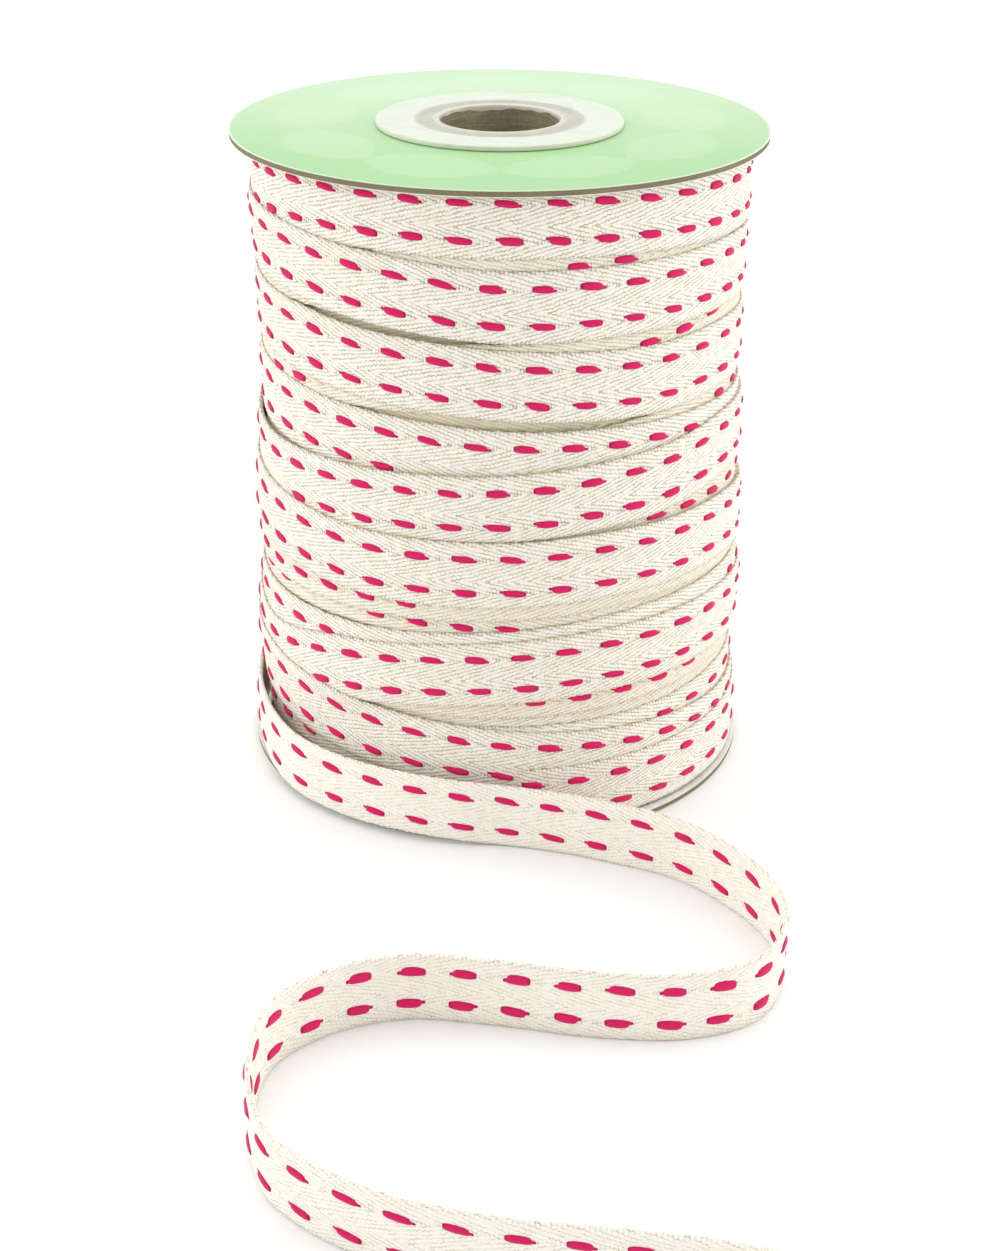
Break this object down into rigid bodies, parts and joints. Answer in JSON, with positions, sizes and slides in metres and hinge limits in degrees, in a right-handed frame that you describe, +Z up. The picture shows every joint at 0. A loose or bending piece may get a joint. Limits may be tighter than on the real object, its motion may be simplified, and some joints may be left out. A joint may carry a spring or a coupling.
{
  "type": "roll of cotton ribbon on a card spool",
  "caption": "Narrow cream cotton ribbon with two rows of pink stitches, wound on a flanged card spool, its loose end standing on edge in an S.",
  "frame": {"origin": "on the surface, under the middle of the spool and its loose ribbon taken together; the spool's axis stands 48.8 mm behind it along +Y", "axes": "+Z up along the spool's axis, +Y from the loose end towards the spool, +X to the right as seen from the loose end"},
  "size_m": [0.0772, 0.1746, 0.0969],
  "materials": {
    "mint_card": "coated green print, satin",
    "white_card": "uncoated pale inner face, matt",
    "brown_card": "grey-brown spiral-wound card, matt",
    "cloudy_plastic": "milky translucent, satin",
    "cotton": "natural herringbone cotton tape with raspberry running stitches"
  },
  "bodies": {
    "root": {"bottom_disc": "white_card", "top_disc": "mint_card", "core_tube": "brown_card", "top_collar": "cloudy_plastic", "ribbon_roll": "cotton", "ribbon_tail": "cotton"}
  },
  "joints": []
}
